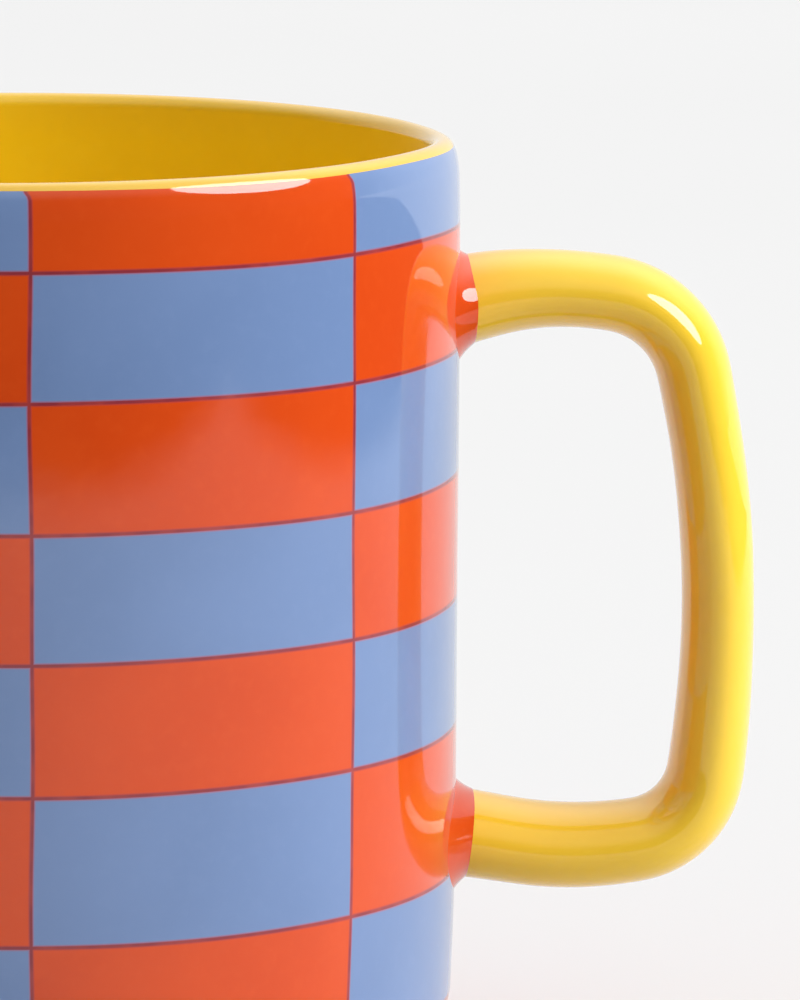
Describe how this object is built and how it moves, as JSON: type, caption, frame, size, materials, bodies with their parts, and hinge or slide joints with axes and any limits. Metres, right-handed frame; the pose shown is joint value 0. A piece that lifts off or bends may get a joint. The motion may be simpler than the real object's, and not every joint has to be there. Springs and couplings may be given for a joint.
{
  "type": "mug",
  "caption": "Straight-sided glazed stoneware mug with a rod handle, orange and blue checkerboard glaze outside, yellow glaze inside and on the handle.",
  "frame": {"origin": "centre of the foot ring's standing face, on the vessel's axis", "axes": "+Z along the vessel's axis, out of the mouth; +X towards the handle; the handle lies in the XZ plane"},
  "size_m": [0.1282, 0.0964, 0.101],
  "materials": {
    "bare_stoneware": "matte, fine speckle, unglazed",
    "slip_clay": "matte, unglazed, hidden under glaze",
    "yellow_glaze": "gloss, slightly mottled",
    "orange_glaze": "gloss, slightly mottled",
    "blue_glaze": "gloss, slightly mottled",
    "maroon_line": "gloss, where orange overlaps blue"
  },
  "bodies": {
    "root": {"vessel": "bare_stoneware", "handle": "bare_stoneware", "upper_slip_joint": "slip_clay", "lower_slip_joint": "slip_clay", "inner_glaze": "yellow_glaze", "base_glaze": "yellow_glaze", "orange_tiles": "orange_glaze", "blue_tiles": "blue_glaze", "tile_lines": "maroon_line", "handle_glaze": "yellow_glaze", "upper_collar_glaze": "orange_glaze", "lower_collar_glaze": "orange_glaze"}
  },
  "joints": []
}
